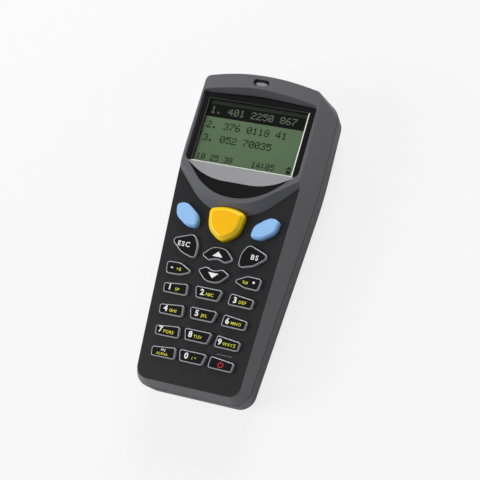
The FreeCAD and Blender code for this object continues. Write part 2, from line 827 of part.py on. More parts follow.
BAY_HALF = "(2 * Dims.cell_radius + 1.5 * Dims.cell_gap)"
CELL_Z = "(Dims.door_thick + Dims.cell_gap + Dims.cell_radius)"
BAY_TOP = f"({CELL_Z} + Dims.cell_radius + Dims.cell_gap)"
BAY_HEAD = f"({FOOT} + Dims.bay_head)"
CELL_HEAD = f"({BAY_HEAD} - Dims.contact_thick)"
CELL_FOOT = f"({CELL_HEAD} - Dims.cell_length)"
BAY_FOOT = f"({CELL_FOOT} - Dims.spring_length - Dims.contact_thick)"
bay_walls = block(
    "bay_walls",
    (f"0 - {BAY_HALF} - Dims.bay_wall", f"{BAY_FOOT} - Dims.bay_wall", "Dims.wall"),
    (
        f"{BAY_HALF} + Dims.bay_wall",
        f"{BAY_HEAD} + Dims.bay_wall",
        f"{BAY_TOP} + Dims.bay_wall / 2",
    ),
)
bay_room = block(
    "bay_room",
    (f"0 - {BAY_HALF}", BAY_FOOT, "0 - 1"),
    (BAY_HALF, BAY_HEAD, BAY_TOP),
)
DOOR_HEAD = f"({BAY_HEAD} + 1)"
door_slot = block(
    "door_slot",
    ("0 - Dims.door_half - Dims.door_gap", f"{FOOT} - 1", "0 - 1"),
    (
        "Dims.door_half + Dims.door_gap",
        f"{DOOR_HEAD} + Dims.door_gap",
        "Dims.door_thick + 0.05",
    ),
)
TONGUE_LOW = "(Dims.door_thick - Dims.tongue_thick)"
tongue_slot = block(
    "tongue_slot",
    (
        "0 - Dims.door_half - Dims.tongue - Dims.door_gap",
        f"{FOOT} - 1",
        f"{TONGUE_LOW} - 0.1",
    ),
    (
        "Dims.door_half + Dims.tongue + Dims.door_gap",
        f"{DOOR_HEAD} + Dims.door_gap",
        "Dims.door_thick + 0.05",
    ),
)
rear_bosses = []
rear_holes = []
for number, (x, y) in enumerate(BOSSES, start=1):
    rear_bosses.append(
        post(f"rear_boss_{number}", x, y, "Dims.wall / 2", "Dims.joint_rise", "Dims.boss_radius")
    )
    rear_holes.append(
        post(
            f"rear_screw_hole_{number}",
            x,
            y,
            "0 - 1",
            "Dims.joint_rise + 1",
            "Dims.screw_radius + Dims.glue_gap",
        )
    )
    rear_holes.append(
        post(
            f"screw_pocket_{number}",
            x,
            y,
            "0 - 1",
            "Dims.head_sink",
            "Dims.screw_head + Dims.glue_gap",
        )
    )
rear_shell = cut("rear_shell", rear_form, rear_cavity)
rear_solid = joined("rear_solid", [rear_shell, bay_walls] + rear_bosses)
rear_inside = common("rear_inside", rear_solid, rear_form)
rear_tools = joined(
    "rear_tools", [bay_room, door_slot, tongue_slot, scan_opening] + rear_holes
)
keep(cut("rear_cover_cut", rear_inside, rear_tools), "rear_cover")

# Battery door: its outer face is the rear cover's own form, and its tongues run in the slot.
door_plate = block(
    "door_plate",
    ("0 - Dims.door_half", f"{FOOT} - 1", "0 - 1"),
    ("Dims.door_half", DOOR_HEAD, "Dims.door_thick - 0.05"),
)
door_tongue = block(
    "door_tongue",
    ("0 - Dims.door_half - Dims.tongue", f"{FOOT} - 1", TONGUE_LOW),
    ("Dims.door_half + Dims.tongue", DOOR_HEAD, "Dims.door_thick - 0.05"),
)
keep(
    common("battery_door_form", rear_form, joined("door_solid", [door_plate, door_tongue])),
    "battery_door",
)

# Cells side by side, with a plate at the head and a spring at the foot of each.
for number, side in ((1, "(0 - 1)"), (2, "1")):
    x = f"{side} * (Dims.cell_radius + Dims.cell_gap / 2)"
    cell = rod(
        f"cell_{number}_can",
        x,
        CELL_FOOT,
        f"{CELL_HEAD} - 1.2",
        CELL_Z,
        "Dims.cell_radius",
    )
    nub = rod(f"cell_{number}_nub", x, f"{CELL_HEAD} - 1.5", CELL_HEAD, CELL_Z, "1.9")
    keep(joined(f"cell_{number}_form", [cell, nub]), f"cell_{number}")
springs = []
for number, side in ((1, "(0 - 1)"), (2, "1")):
    x = f"{side} * (Dims.cell_radius + Dims.cell_gap / 2)"
    coil = doc.addObject("Part::Cone", f"contact_spring_{number}")
    coil.Placement = FreeCAD.Placement(
        FreeCAD.Vector(), FreeCAD.Rotation(FreeCAD.Vector(-1, 0, 0), 90)
    )
    bind(
        coil,
        Placement__Base__x=x,
        Placement__Base__y=f"{BAY_FOOT} + Dims.contact_thick / 2",
        Placement__Base__z=CELL_Z,
        Radius1="3.4",
        Radius2="2.2",
        Height="Dims.spring_length + Dims.contact_thick / 2",
    )
    springs.append(coil)
spring_plate = block(
    "spring_plate",
    (f"0 - {BAY_HALF} + 0.6", BAY_FOOT, f"{CELL_Z} - 4"),
    (f"{BAY_HALF} - 0.6", f"{BAY_FOOT} + Dims.contact_thick", f"{CELL_Z} + 4"),
)
keep(joined("contact_springs_form", springs + [spring_plate]), "contact_springs")
keep(
    block(
        "contact_plate_form",
        (f"0 - {BAY_HALF} + 0.6", CELL_HEAD, f"{CELL_Z} - 4"),
        (f"{BAY_HALF} - 0.6", BAY_HEAD, f"{CELL_Z} + 4"),
    ),
    "contact_plate",
)

# Lens, crescent and display panel, on the lens's own plane.
lens = body("lens_body")
on_lens(lens)
pad(lens, lens_outline("Dims.glue_gap"), "Dims.lens_thick", rise="0 - Dims.lens_thick")
keep(lens, "display_lens")
badge = body("badge_body")
on_lens(badge)
BADGE_HALF = "(Dims.lens_half - 1)"
pad(
    badge,
    [
        (f"0 - {BADGE_HALF}", "Dims.view_foot - 0.7", "0"),
        ("-11.5", "Dims.badge_foot + 1.2", "24"),
        ("11.5", "Dims.badge_foot + 1.2", "24"),
        (BADGE_HALF, "Dims.view_foot - 0.7", "0"),
        (BADGE_HALF, "Dims.view_foot - 0.4", "0"),
        (f"0 - {BADGE_HALF}", "Dims.view_foot - 0.4", "0"),
    ],
    "Dims.badge_thick",
)
keep(badge, "trim_crescent")
panel = body("panel_body")
on_lens(panel)
pad(
    panel,
    PANEL,
    "Dims.panel_thick",
    rise="0 - Dims.lens_thick - Dims.glue_gap - Dims.panel_thick",
)
keep(panel, "display_panel")

# Circuit board under the keypad plane, with room for the bosses, and its dome film.
board = body("board_body")
on_face(board)
BOARD_FOOT = "(Dims.board_gap + 1.6)"
pad(
    board,
    [
        ("0 - Dims.foot_half + 3.7", BOARD_FOOT, "1"),
        ("Dims.foot_half - 3.7", BOARD_FOOT, "1"),
        ("Dims.waist_half - 5.4", "Dims.waist_run", "40"),
        ("Dims.head_half - 5.2", "Dims.body_length - 7.6", "Dims.board_round"),
        ("0 - Dims.head_half + 5.2", "Dims.body_length - 7.6", "Dims.board_round"),
        ("0 - Dims.waist_half + 5.4", "Dims.waist_run", "40"),
    ],
    "Dims.board_thick",
    rise="0 - Dims.board_drop - Dims.board_thick",
)
notches = joined(
    "board_notches",
    [
        post(f"board_notch_{number}", x, y, "0", TOP, "Dims.boss_radius + 0.4")
        for number, (x, y) in enumerate(BOSSES, start=1)
    ],
)
keep(cut("board_form", board, notches), "circuit_board")

film = body("film_body")
on_face(film)
pad(film, rectangle("-17.6", "7.6", "17.6", "69.5", "1"), "Dims.film", rise="0 - Dims.board_drop")
domes = []
for label, (corners, x, y, rise, edge) in KEYS.items():
    dome = doc.addObject("Part::Cone", f"{label}_dome")
    on_face(dome, x, y)
    bind(
        dome,
        Placement__Base__y=f"{FACE_Y} + ({y}) * cos(Dims.face_tilt)"
        " + (Dims.board_drop - Dims.film / 2) * sin(Dims.face_tilt)",
        Placement__Base__z=f"Dims.face_rise + ({y}) * sin(Dims.face_tilt)"
        " - (Dims.board_drop - Dims.film / 2) * cos(Dims.face_tilt)",
        Radius1="Dims.dome_radius",
        Radius2="Dims.dome_radius / 2",
        Height="Dims.dome_rise + Dims.film / 2",
    )
    domes.append(dome)
keep(joined("dome_film_form", [film] + domes), "dome_film")

# Scanner, its window, indicator, sounder and screws.
keep(
    block(
        "scan_window_form",
        (
            "0 - Dims.scan_half + Dims.window_gap",
            f"{SCAN_FRONT} - Dims.scan_glass",
            "Dims.scan_low + Dims.window_gap",
        ),
        (
            "Dims.scan_half - Dims.window_gap",
            SCAN_FRONT,
            "Dims.scan_high - Dims.window_gap",
        ),
    ),
    "scan_window",
)
ENGINE_FRONT = f"({SCAN_FRONT} - Dims.scan_glass - Dims.engine_gap)"
SCAN_Z = "((Dims.scan_low + Dims.scan_high) / 2)"
engine_box = block(
    "engine_box",
    (
        "0 - Dims.engine_width / 2",
        f"{ENGINE_FRONT} - Dims.engine_length",
        f"{SCAN_Z} - Dims.engine_height / 2",
    ),
    ("Dims.engine_width / 2", ENGINE_FRONT, f"{SCAN_Z} + Dims.engine_height / 2"),
)
engine_mouth = block(
    "engine_mouth",
    ("0 - Dims.engine_width / 2 + 1.5", f"{ENGINE_FRONT} - 2", f"{SCAN_Z} - 3"),
    ("Dims.engine_width / 2 - 1.5", f"{ENGINE_FRONT} + 1", f"{SCAN_Z} + 3"),
)
engine_feet = block(
    "engine_feet",
    ("0 - Dims.engine_width / 2", f"{ENGINE_FRONT} - 10", "Dims.wall"),
    ("Dims.engine_width / 2", f"{ENGINE_FRONT} - 6", f"{SCAN_Z} - 4"),
)
keep(
    cut("engine_form", joined("engine_solid", [engine_box, engine_feet]), engine_mouth),
    "scan_engine",
)

lamp = body("lamp_body")
pad(
    lamp,
    LAMP,
    "Dims.hood_rise - Dims.lamp_sink - Dims.roof_rise",
    rise="Dims.roof_rise",
)
keep(lamp, "indicator_lens")
sounder = doc.addObject("Part::Cylinder", "buzzer_form")
on_face(sounder, "0", "Dims.buzzer_run")
bind(
    sounder,
    Placement__Base__y=f"{FACE_Y} + Dims.buzzer_run * cos(Dims.face_tilt)"
    " + (Dims.board_drop + Dims.board_thick + Dims.buzzer_thick) * sin(Dims.face_tilt)",
    Placement__Base__z="Dims.face_rise + Dims.buzzer_run * sin(Dims.face_tilt)"
    " - (Dims.board_drop + Dims.board_thick + Dims.buzzer_thick) * cos(Dims.face_tilt)",
    Radius="Dims.buzzer_radius",
    Height="Dims.buzzer_thick",
)
keep(sounder, "buzzer")
fasteners = []
for number, (x, y) in enumerate(BOSSES, start=1):
    fasteners.append(
        post(
            f"screw_head_{number}",
            x,
            y,
            "Dims.head_sink - 1.2",
            "Dims.head_sink",
            "Dims.screw_head",
        )
    )
    fasteners.append(
        post(
            f"screw_shank_{number}",
            x,
            y,
            "Dims.head_sink - 0.5",
            "Dims.head_sink + Dims.screw_length",
            "Dims.screw_radius",
        )
    )
keep(joined("screws_form", fasteners), "screws")

doc.recompute()
for thing in doc.Objects:
    if "Invalid" in thing.State or "Error" in thing.State:
        raise RuntimeError(f"{thing.Name} did not build: {thing.State}")
for thing in NODES:
    shape = thing.Shape
    if shape.isNull() or not shape.isValid() or not shape.Solids:
        raise RuntimeError(f"{thing.Label} has no sound solid")

os.makedirs("parts", exist_ok=True)
for thing in NODES:
    thing.Shape.exportStep(f"parts/{thing.Label}.step")
    print(thing.Label, len(thing.Shape.Solids), round(thing.Shape.Volume, 2))
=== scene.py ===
"""Portable barcode data terminal: finishes, legends, display and studio."""

import logging
import math
from dataclasses import dataclass, field
from enum import Enum
from typing import Any

import bpy
from mathutils import Matrix, Vector


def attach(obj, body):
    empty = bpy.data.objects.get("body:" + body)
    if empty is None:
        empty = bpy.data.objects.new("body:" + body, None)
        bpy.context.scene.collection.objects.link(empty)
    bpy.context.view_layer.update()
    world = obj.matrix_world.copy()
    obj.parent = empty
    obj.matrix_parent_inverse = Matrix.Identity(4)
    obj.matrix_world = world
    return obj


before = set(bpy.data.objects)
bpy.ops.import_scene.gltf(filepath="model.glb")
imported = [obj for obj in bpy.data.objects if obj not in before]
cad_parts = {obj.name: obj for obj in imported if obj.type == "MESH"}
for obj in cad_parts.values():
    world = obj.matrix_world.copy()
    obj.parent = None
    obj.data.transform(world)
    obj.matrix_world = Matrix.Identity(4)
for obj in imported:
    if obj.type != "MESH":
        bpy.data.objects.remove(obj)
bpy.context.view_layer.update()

LOG = logging.getLogger("terminal")
MM = 0.001
HOUSING = "housing"

# Shared with the frame: the tilt of the keypad plane and of the display lens, the display's
# window on that lens, and the height at which the covers meet. Millimetres and degrees.
KEYPAD_TILT = 4.5
LENS_TILT = 2.0
FOOT_Y = -59.2
FACE_FOOT_Z = 21.0
WINDOW_HALF = 19.65
WINDOW_LOW = 83.2
WINDOW_HIGH = 108.7
JOINT_Z = 14.6
KEYPAD_NORMAL = (
    0.0,
    -math.sin(math.radians(KEYPAD_TILT)),
    math.cos(math.radians(KEYPAD_TILT)),
)


def linear(hex_colour: str) -> tuple[float, float, float, float]:
    """Turn an sRGB hex colour into linear values.

    Args:
        hex_colour: Six hex digits after a hash sign.

    Returns:
        Linear red, green, blue and an alpha of 1.
    """
    channels = [int(hex_colour[i : i + 2], 16) / 255 for i in (1, 3, 5)]
    red, green, blue = (
        c / 12.92 if c <= 0.04045 else ((c + 0.055) / 1.055) ** 2.4 for c in channels
    )
    return red, green, blue, 1.0


def add_node(
    tree: bpy.types.NodeTree,
    kind: str,
    inputs: dict[Any, Any] | None = None,
    links: dict[Any, bpy.types.NodeSocket] | None = None,
    **settings: Any,
) -> bpy.types.Node:
    """Add a node with its settings, socket values and incoming links.

    Args:
        tree: The node tree.
        kind: The node's type name.
        inputs: Socket name or number to value.
        links: Socket name or number to the output that feeds it.
        settings: Properties of the node.

    Returns:
        The new node.
    """
    node = tree.nodes.new(kind)
    for name, setting in settings.items():
        setattr(node, name, setting)
    for name, number in (inputs or {}).items():
        node.inputs[name].default_value = number
    for name, source in (links or {}).items():
        tree.links.new(source, node.inputs[name])
    return node


def start_material(name: str) -> tuple[bpy.types.Material, bpy.types.NodeTree]:
    """Make an empty node material.

    Args:
        name: The material's name.

    Returns:
        The material and its cleared node tree.
    """
    material = bpy.data.materials.new(name)
    material.use_nodes = True
    material.node_tree.nodes.clear()
    return material, material.node_tree


class Way(Enum):
    """Which way an arrow points on the keypad."""

    UP = 1
    DOWN = -1


def level_share(
    tree: bpy.types.NodeTree, low: float, high: float
) -> bpy.types.NodeSocket:
    """Tell a face that lies along the keypad from one that turns away.

    Args:
        tree: The node tree.
        low: Cosine to the keypad's normal that counts as turned away.
        high: Cosine that counts as level.

    Returns:
        A socket of 0 on turned faces and 1 on level ones.
    """
    normal = add_node(tree, "ShaderNodeNewGeometry").outputs["Normal"]
    up = add_node(
        tree,
        "ShaderNodeVectorMath",
        {1: KEYPAD_NORMAL},
        {0: normal},
        operation="DOT_PRODUCT",
    )
    share = add_node(
        tree,
        "ShaderNodeMapRange",
        {"From Min": low, "From Max": high},
        {"Value": up.outputs["Value"]},
    )
    return share.outputs[0]


@dataclass(frozen=True)
class MouldedAbs:
    """Spark-eroded ABS: a fine even grain that breaks the gloss. Faces that turn away from the
    keypad are painted paler as painted light, and the level keypad face is painted dark, partly its
    own darker finish and partly painted shade.
    """

    name: str
    # colour: turned faces, painted paler as painted light; top_colour: the level keypad face, dark
    # partly by its finish and partly as painted shade
    colour: str
    top_colour: str
    roughness: float = 0.42
    face_level_mm: float = 25.58  # the keypad plane, measured along its own normal
    grain_mm: float = 0.35  # real grain is about 0.1 mm, drawn coarser so that it shows
    grain_depth_mm: float = 0.012

    def build(self) -> bpy.types.Material:
        """Return the material."""
        material, tree = start_material(self.name)
        place = add_node(tree, "ShaderNodeTexCoord").outputs["Object"]
        grain = add_node(
            tree,
            "ShaderNodeTexNoise",
            {"Scale": 1 / (self.grain_mm * MM), "Detail": 2.0},
            {"Vector": place},
        )
        drift = add_node(
            tree, "ShaderNodeTexNoise", {"Scale": 1 / (22 * MM)}, {"Vector": place}
        )
        level = add_node(
            tree,
            "ShaderNodeVectorMath",
            {1: KEYPAD_NORMAL},
            {0: place},
            operation="DOT_PRODUCT",
        )
        below = add_node(
            tree,
            "ShaderNodeMath",
            {1: (self.face_level_mm + 0.3) * MM},
            {0: level.outputs["Value"]},
            operation="LESS_THAN",
        )
        flat = add_node(
            tree,
            "ShaderNodeMath",
            {},
            {0: level_share(tree, 0.985, 0.9985), 1: below.outputs[0]},
            operation="MULTIPLY",
        )
        # painted light and shade by facing: turned faces take the paler colour, the level keypad
        # face the dark one
        shade = add_node(
            tree,
            "ShaderNodeMix",
            {6: linear(self.colour), 7: linear(self.top_colour)},
            {0: flat.outputs[0]},
            data_type="RGBA",
        )
        worn = add_node(
            tree,
            "ShaderNodeHueSaturation",
            {},
            {
                "Color": shade.outputs[2],
                "Value": add_node(
                    tree,
                    "ShaderNodeMapRange",
                    {"To Min": 0.92, "To Max": 1.08},
                    {"Value": drift.outputs[0]},
                ).outputs[0],
            },
        )
        bump = add_node(
            tree,
            "ShaderNodeBump",
            {"Strength": 0.5, "Distance": self.grain_depth_mm * MM},
            {"Height": grain.outputs[0]},
        )
        rough = add_node(
            tree,
            "ShaderNodeMapRange",
            {"To Min": self.roughness - 0.05, "To Max": self.roughness + 0.05},
            {"Value": grain.outputs[0]},
        )
        surface = add_node(
            tree,
            "ShaderNodeBsdfPrincipled",
            {"IOR": 1.52},
            {
                "Base Color": worn.outputs[0],
                "Roughness": rough.outputs[0],
                "Normal": bump.outputs[0],
            },
        )
        add_node(tree, "ShaderNodeOutputMaterial", {}, {0: surface.outputs[0]})
        return material


@dataclass(frozen=True)
class KeyCap:
    """Moulded key: a glossy printed top over a satin side."""

    name: str
    top: str
    side: str
    roughness: float = 0.18
    crown: float = 0.998
    blend: float = 0.012

    def build(self) -> bpy.types.Material:
        """Return the material."""
        material, tree = start_material(self.name)
        place = add_node(tree, "ShaderNodeTexCoord").outputs["Object"]
        shade = add_node(
            tree,
            "ShaderNodeMix",
            {6: linear(self.side), 7: linear(self.top)},
            {0: level_share(tree, self.crown - self.blend, self.crown)},
            data_type="RGBA",
        )
        orange_peel = add_node(
            tree, "ShaderNodeTexNoise", {"Scale": 1 / (0.8 * MM)}, {"Vector": place}
        )
        bump = add_node(
            tree,
            "ShaderNodeBump",
            {"Strength": 0.25, "Distance": 0.01 * MM},
            {"Height": orange_peel.outputs[0]},
        )
        rough = add_node(
            tree,
            "ShaderNodeMapRange",
            {"To Min": self.roughness, "To Max": self.roughness + 0.08},
            {"Value": orange_peel.outputs[0]},
        )
        surface = add_node(
            tree,
            "ShaderNodeBsdfPrincipled",
            {"IOR": 1.5},
            {
                "Base Color": shade.outputs[2],
                "Roughness": rough.outputs[0],
                "Normal": bump.outputs[0],
            },
        )
        add_node(tree, "ShaderNodeOutputMaterial", {}, {0: surface.outputs[0]})
        return material


@dataclass(frozen=True)
class PlainFinish:
    """Printed, painted or metal surface with a slight unevenness in its gloss."""

    name: str
    colour: str
    roughness: float = 0.4
    metallic: float = 0.0
    mottle_mm: float = 1.5

    def build(self) -> bpy.types.Material:
        """Return the material."""
        material, tree = start_material(self.name)
        place = add_node(tree, "ShaderNodeTexCoord").outputs["Object"]
        mottle = add_node(
            tree,
            "ShaderNodeTexNoise",
            {"Scale": 1 / (self.mottle_mm * MM)},
            {"Vector": place},
        )
        rough = add_node(
            tree,
            "ShaderNodeMapRange",
            {"To Min": self.roughness * 0.85, "To Max": self.roughness * 1.15},
            {"Value": mottle.outputs[0]},
        )
        surface = add_node(
            tree,
            "ShaderNodeBsdfPrincipled",
            {"Base Color": linear(self.colour), "Metallic": self.metallic},
            {"Roughness": rough.outputs[0]},
        )
        add_node(tree, "ShaderNodeOutputMaterial", {}, {0: surface.outputs[0]})
        return material


@dataclass(frozen=True)
class LensFinish:
    """Hard-coated acrylic: black printing on its back round a clear window."""

    name: str
    half_width_mm: float
    low_mm: float
    high_mm: float

    def build(self) -> bpy.types.Material:
        """Return the material."""
        material, tree = start_material(self.name)
        place = add_node(tree, "ShaderNodeTexCoord").outputs["Object"]
        split = add_node(tree, "ShaderNodeSeparateXYZ", {}, {0: place})
        side = add_node(
            tree, "ShaderNodeMath", {}, {0: split.outputs[0]}, operation="ABSOLUTE"
        )
        within_x = add_node(
            tree,
            "ShaderNodeMath",
            {1: self.half_width_mm * MM},
            {0: side.outputs[0]},
            operation="LESS_THAN",
        )
        above = add_node(
            tree,
            "ShaderNodeMath",
            {1: self.low_mm * MM},
            {0: split.outputs[1]},
            operation="GREATER_THAN",
        )
        below = add_node(
            tree,
            "ShaderNodeMath",
            {1: self.high_mm * MM},
            {0: split.outputs[1]},
            operation="LESS_THAN",
        )
        both = add_node(
            tree,
            "ShaderNodeMath",
            {},
            {0: within_x.outputs[0], 1: above.outputs[0]},
            operation="MULTIPLY",
        )
        window = add_node(
            tree,
            "ShaderNodeMath",
            {},
            {0: both.outputs[0], 1: below.outputs[0]},
            operation="MULTIPLY",
        )
        smear = add_node(
            tree, "ShaderNodeTexNoise", {"Scale": 1 / (6 * MM)}, {"Vector": place}
        )
        rough = add_node(
            tree,
            "ShaderNodeMapRange",
            {"To Min": 0.05, "To Max": 0.12},
            {"Value": smear.outputs[0]},
        )
        border = add_node(
            tree,
            "ShaderNodeBsdfPrincipled",
            {"Base Color": linear("#0b0b0c"), "IOR": 1.49},
            {"Roughness": rough.outputs[0]},
        )
        clear = add_node(tree, "ShaderNodeBsdfTransparent", {0: (0.93, 0.95, 0.93, 1)})
        sheen = add_node(tree, "ShaderNodeBsdfGlossy", {"Roughness": 0.06})
        edge = add_node(tree, "ShaderNodeFresnel", {"IOR": 1.3})
        pane = add_node(
            tree,
            "ShaderNodeMixShader",
            {},
            {0: edge.outputs[0], 1: clear.outputs[0], 2: sheen.outputs[0]},
        )
        surface = add_node(
            tree,
            "ShaderNodeMixShader",
            {},
            {0: window.outputs[0], 1: border.outputs[0], 2: pane.outputs[0]},
        )
        add_node(tree, "ShaderNodeOutputMaterial", {}, {0: surface.outputs[0]})
        return material


@dataclass(frozen=True)
class LiquidCrystal:
    """Reflective dot-matrix glass: grey-green, darker rows painted by the driven dots."""

    name: str
    header_low_mm: float
    header_high_mm: float

    def build(self) -> bpy.types.Material:
        """Return the material."""
        material, tree = start_material(self.name)
        place = add_node(tree, "ShaderNodeTexCoord").outputs["Object"]
        split = add_node(tree, "ShaderNodeSeparateXYZ", {}, {0: place})
        cloud = add_node(
            tree, "ShaderNodeTexNoise", {"Scale": 1 / (16 * MM)}, {"Vector": place}
        )
        green = add_node(
            tree,
            "ShaderNodeMix",
            {6: linear("#9cb893"), 7: linear("#acc8a0")},
            {0: cloud.outputs[0]},
            data_type="RGBA",
        )
        over = add_node(
            tree,
            "ShaderNodeMath",
            {1: self.header_low_mm * MM},
            {0: split.outputs[1]},
            operation="GREATER_THAN",
        )
        header = add_node(
            tree,
            "ShaderNodeMix",
            {7: linear("#0e120c")},
            {0: over.outputs[0], 6: green.outputs[2]},
            data_type="RGBA",
        )
        beyond = add_node(
            tree,
            "ShaderNodeMath",
            {1: self.header_high_mm * MM},
            {0: split.outputs[1]},
            operation="GREATER_THAN",
        )
        shade = add_node(
            tree,
            "ShaderNodeMix",
            {7: linear("#606260")},
            {0: beyond.outputs[0], 6: header.outputs[2]},
            data_type="RGBA",
        )
        surface = add_node(
            tree,
            "ShaderNodeBsdfPrincipled",
            {"Roughness": 0.5, "Specular IOR Level": 0.1},
            {"Base Color": shade.outputs[2]},
        )
        add_node(tree, "ShaderNodeOutputMaterial", {}, {0: surface.outputs[0]})
        return material


@dataclass(frozen=True)
class LightGuide:
    """Frosted acrylic light guide, with painted shade where it meets the wall of its slot."""

    name: str
    middle_mm: float
    half_long_mm: float = 2.3
    half_wide_mm: float = 0.75

    def build(self) -> bpy.types.Material:
        """Return the material."""
        material, tree = start_material(self.name)
        place = add_node(tree, "ShaderNodeTexCoord").outputs["Object"]
        split = add_node(tree, "ShaderNodeSeparateXYZ", {}, {0: place})
        along = add_node(
            tree,
            "ShaderNodeMath",
            {1: self.half_long_mm * MM},
            {0: split.outputs[0]},
            operation="DIVIDE",
        )
        offset = add_node(
            tree,
            "ShaderNodeMath",
            {1: (self.middle_mm - 0.3) * MM},
            {0: split.outputs[1]},
            operation="SUBTRACT",
        )
        across = add_node(
            tree,
            "ShaderNodeMath",
            {1: self.half_wide_mm * MM},
            {0: offset.outputs[0]},
            operation="DIVIDE",
        )
        pair = add_node(
            tree, "ShaderNodeCombineXYZ", {}, {0: along.outputs[0], 1: across.outputs[0]}
        )
        reach = add_node(
            tree, "ShaderNodeVectorMath", {}, {0: pair.outputs[0]}, operation="LENGTH"
        )
        edge = add_node(
            tree,
            "ShaderNodeMapRange",
            {"From Min": 0.8, "From Max": 1.15},
            {"Value": reach.outputs["Value"]},
        )
        # painted shade: the guide turns near black towards the wall of its slot
        shade = add_node(
            tree,
            "ShaderNodeMix",
            {6: linear("#9a9a9e"), 7: linear("#0c0c0e")},
            {0: edge.outputs[0]},
            data_type="RGBA",
        )
        frost = add_node(
            tree, "ShaderNodeTexNoise", {"Scale": 1 / (0.4 * MM)}, {"Vector": place}
        )
        rough = add_node(
            tree,
            "ShaderNodeMapRange",
            {"To Min": 0.25, "To Max": 0.4},
            {"Value": frost.outputs[0]},
        )
        surface = add_node(
            tree,
            "ShaderNodeBsdfPrincipled",
            {"IOR": 1.49},
            {"Base Color": shade.outputs[2], "Roughness": rough.outputs[0]},
        )
        add_node(tree, "ShaderNodeOutputMaterial", {}, {0: surface.outputs[0]})
        return material


class Paint:
    """The finishes, each built once."""

    def __init__(self) -> None:
        """Build every finish."""
        # moulded ABS with a fine spark-eroded grain, which spreads the light softly; the front's
        # turned faces are painted paler as painted light, its level keypad face darker, partly by
        # finish and partly as painted shade
        self.front = MouldedAbs("abs_charcoal_painted_facing_light", "#5c5c61", "#111114").build()
        self.rear = MouldedAbs("abs_grey", "#4a4a4f", "#4a4a4f").build()
        # key caps: moulded, glossy on top, satin where they turn to the side
        self.key = KeyCap("key_black_gloss", "#060608", "#a4a4a8").build()
        self.blue = KeyCap("key_blue_satin", "#98c6f6", "#88b8ee", 0.3).build()
        self.yellow = KeyCap("key_yellow_gloss", "#ffc000", "#ffd200", 0.25).build()
        # glossy acrylic, printed black behind all but the window
        self.lens = LensFinish("acrylic_lens", WINDOW_HALF, 23.95, 49.43).build()
        # reflective display glass: matt, grey-green, with a dark first row
        self.crystal = LiquidCrystal("lcd_glass", 42.6, 47.9).build()
        # painted trim: a bright metallic sheen, a little uneven
        self.silver = PlainFinish("silver_paint", "#c4c4c8", 0.34, 0.75, 4.0).build()
        # printed inks: flat in colour, barely glossy
        self.white_ink = PlainFinish("white_ink", "#f4f4f4", 0.4).build()
        self.yellow_ink = PlainFinish("yellow_ink", "#e6e43c", 0.4).build()
        self.red_ink = PlainFinish("red_ink", "#be1e32", 0.4).build()
        # driven dots: dark on the green rows, clear on the dark one
        self.dark_dot = PlainFinish("driven_dot", "#0a2410", 0.5).build()
        self.pale_dot = PlainFinish("clear_dot", "#a8aaa0", 0.5).build()
        # bevels of the acrylic: the ones that catch the light, and the ones in shade
        self.bright_edge = PlainFinish("window_edge_lit", "#e6ece2", 0.2).build()
        self.dim_edge = PlainFinish("window_edge_dim", "#343734", 0.3).build()
        # the joint between the covers reads as a dark line
        self.groove = PlainFinish("joint_shadow", "#0e0e10", 0.7).build()
        # inner pieces: solder mask, stamped steel, nylon, dyed acrylic, frosted acrylic, film
        self.solder = PlainFinish("solder_mask", "#14502c", 0.35).build()
        self.steel = PlainFinish("stamped_steel", "#b4b4b2", 0.3, 1.0, 0.6).build()
        self.black = PlainFinish("black_nylon", "#161618", 0.5).build()
        self.red_window = PlainFinish("red_acrylic", "#3a060a", 0.1).build()
        # frosted light guide, with painted shade round its edge where the slot wall falls
        self.lamp = LightGuide("frosted_guide_painted_slot_shade", 56.84).build()
        # painted highlight: the grey of the moulded charcoal line over the power key
        self.ridge_painted_highlight = PlainFinish("power_line_painted_highlight", "#77777c", 0.4).build()
        self.jacket = PlainFinish("cell_jacket", "#25262b", 0.25).build()


@dataclass
class KeypadPlane:
    """The sloping plane of the keypad, in millimetres."""

    foot_y: float = FOOT_Y
    foot_z: float = FACE_FOOT_Z
    tilt_deg: float = KEYPAD_TILT

    def at(self, x: float, y: float, rise: float) -> Matrix:
        """Return the transform of a place on the plane.

        Args:
            x: Distance to the right of the middle.
            y: Distance up the plane from its foot.
            rise: Height above the plane.

        Returns:
            A matrix that takes millimetres on the plane to metres in the model.
        """
        tilt = math.radians(self.tilt_deg)
        base = Vector((x, self.foot_y + y * math.cos(tilt), self.foot_z + y * math.sin(tilt)))
        turn = Matrix.Rotation(tilt, 4, "X")
        lift = turn @ Vector((0, 0, rise))
        return Matrix.Scale(MM, 4) @ Matrix.Translation(base + lift) @ turn


@dataclass
class LensPlane:
    """The plane of the display lens's upper face, in millimetres."""

    foot_y: float = FOOT_Y
    rise: float = 28.5 + 75.6 * math.tan(math.radians(LENS_TILT))
    tilt_deg: float = LENS_TILT

    def at(self, x: float, y: float, rise: float) -> Matrix:
        """Return the transform of a place on the plane.

        Args:
            x: Distance to the right of the middle.
            y: Distance up the plane from its foot.
            rise: Height above the plane.

        Returns:
            A matrix that takes millimetres on the plane to metres in the model.
        """
        turn = Matrix.Rotation(-math.radians(self.tilt_deg), 4, "X")
        start = Matrix.Translation(Vector((0, self.foot_y, self.rise)))
        return Matrix.Scale(MM, 4) @ start @ turn @ Matrix.Translation(Vector((x, y, rise)))


